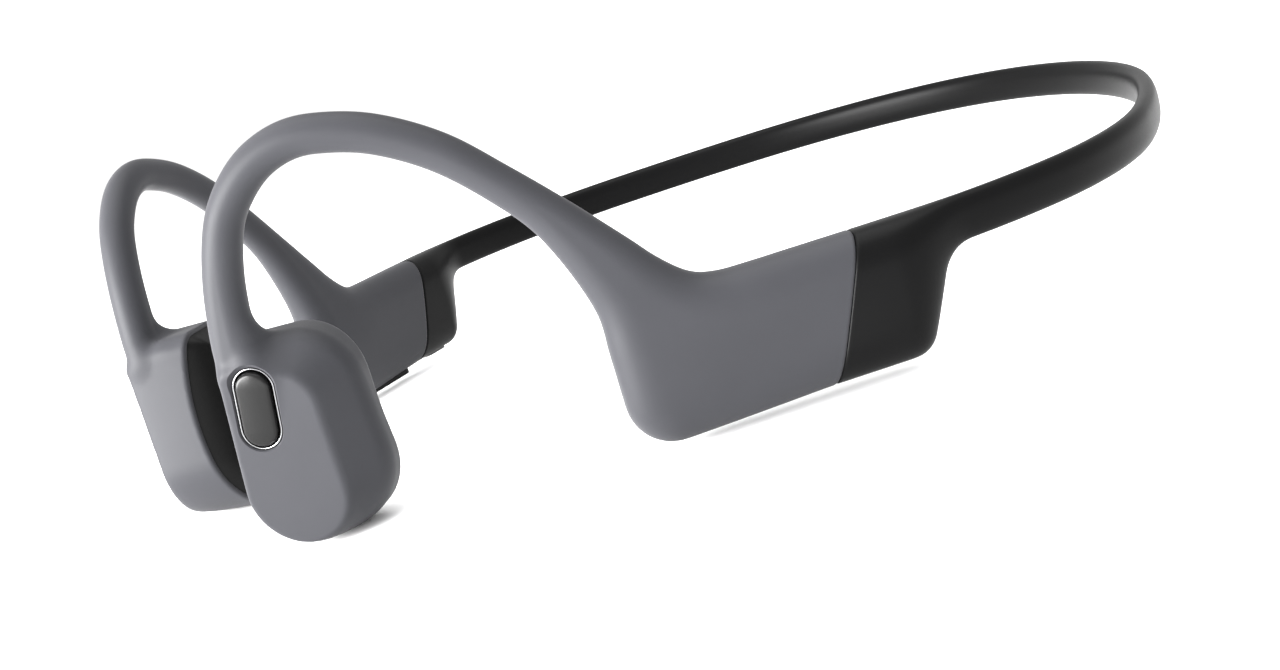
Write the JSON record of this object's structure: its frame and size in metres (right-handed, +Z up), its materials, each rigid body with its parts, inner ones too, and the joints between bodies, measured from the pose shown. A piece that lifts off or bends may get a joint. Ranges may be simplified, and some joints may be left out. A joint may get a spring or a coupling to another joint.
{
  "type": "bone conduction headphones",
  "caption": "Open-ear headphones with a slim rear band, grey ear hooks and housings, and angled transducer pods that rest on the cheekbones.",
  "frame": {"origin": "on the table under the middle of the bounding box, with the headphones resting on their pods and housings", "axes": "+Z up, the wearer faces -Y, the wearer's left is +X, the rear band is at +Y"},
  "size_m": [0.1298, 0.154, 0.0476],
  "materials": {
    "grey_skin": "soft-touch matte silicone",
    "black_skin": "satin black silicone",
    "pad_rubber": "matte black silicone",
    "button_gloss": "polished black",
    "bright_metal": "bright",
    "titanium": "drawn wire",
    "iron": "plated iron",
    "magnet_nickel": "nickel plated",
    "copper": "enamelled copper wire",
    "board": "solder mask",
    "chip": "moulded package",
    "cell_foil": "laminate foil",
    "frame_plastic": "moulded",
    "gold": "gold plated",
    "clear_plastic": "frosted",
    "lead_jacket": "thin jacket"
  },
  "bodies": {
    "neckband": {"neckband_skin": "black_skin", "neckband_core_wire": "titanium", "neckband_signal_lead": "lead_jacket"},
    "left_arm": {"left_rear_cover": "black_skin", "left_ear_hook_skin": "grey_skin", "left_hook_core_wire": "titanium", "left_hook_lead": "lead_jacket", "left_housing_frame": "frame_plastic", "left_pod_shell": "grey_skin", "left_contact_pad": "pad_rubber", "left_pod_seal": "pad_rubber", "left_transducer_yoke": "iron", "left_transducer_magnet": "magnet_nickel", "left_magnet_top_plate": "iron", "left_voice_coil": "copper", "left_spring_plate": "bright_metal", "left_microphone": "bright_metal", "battery_cell": "cell_foil", "battery_protection_board": "board", "button_bezel": "bright_metal", "button_switch": "bright_metal", "button_board": "board"},
    "right_arm": {"right_rear_cover": "black_skin", "right_ear_hook_skin": "grey_skin", "right_hook_core_wire": "titanium", "right_hook_lead": "lead_jacket", "right_housing_frame": "frame_plastic", "right_pod_shell": "grey_skin", "right_contact_pad": "pad_rubber", "right_pod_seal": "pad_rubber", "right_transducer_yoke": "iron", "right_transducer_magnet": "magnet_nickel", "right_magnet_top_plate": "iron", "right_voice_coil": "copper", "right_spring_plate": "bright_metal", "right_microphone": "bright_metal", "main_board": "board", "radio_shield_can": "bright_metal", "memory_chip": "chip", "antenna": "gold", "volume_strip": "black_skin", "volume_up_switch": "bright_metal", "volume_down_switch": "bright_metal", "charging_port": "frame_plastic", "charging_pin_front": "gold", "charging_pin_rear": "gold", "charging_magnet": "magnet_nickel", "status_light_pipe": "clear_plastic"},
    "multifunction_button": {"multifunction_button": "button_gloss"},
    "volume_up": {"volume_up_button": "button_gloss"},
    "volume_down": {"volume_down_button": "button_gloss"}
  },
  "joints": [
    {"name": "left_arm_flex", "type": "hinge", "parent": "neckband", "child": "left_arm", "pos_m": [0.06114, -0.00181, 0.0154], "axis": [0, 0, 1], "range_deg": [-3, 12], "stiffness_Nm_per_rad": 0.3},
    {"name": "right_arm_flex", "type": "hinge", "parent": "neckband", "child": "right_arm", "pos_m": [-0.06114, -0.00181, 0.0154], "axis": [0, 0, -1], "range_deg": [-3, 12], "stiffness_Nm_per_rad": 0.3},
    {"name": "multifunction_press", "type": "slide", "parent": "left_arm", "child": "multifunction_button", "axis": [-0.7071, 0.7071, 0], "range_m": [0, 0.00035], "stiffness_N_per_m": 900},
    {"name": "volume_up_press", "type": "slide", "parent": "right_arm", "child": "volume_up", "axis": [0, 0, 1], "range_m": [0, 0.0003], "stiffness_N_per_m": 900},
    {"name": "volume_down_press", "type": "slide", "parent": "right_arm", "child": "volume_down", "axis": [0, 0, 1], "range_m": [0, 0.0003], "stiffness_N_per_m": 900}
  ]
}
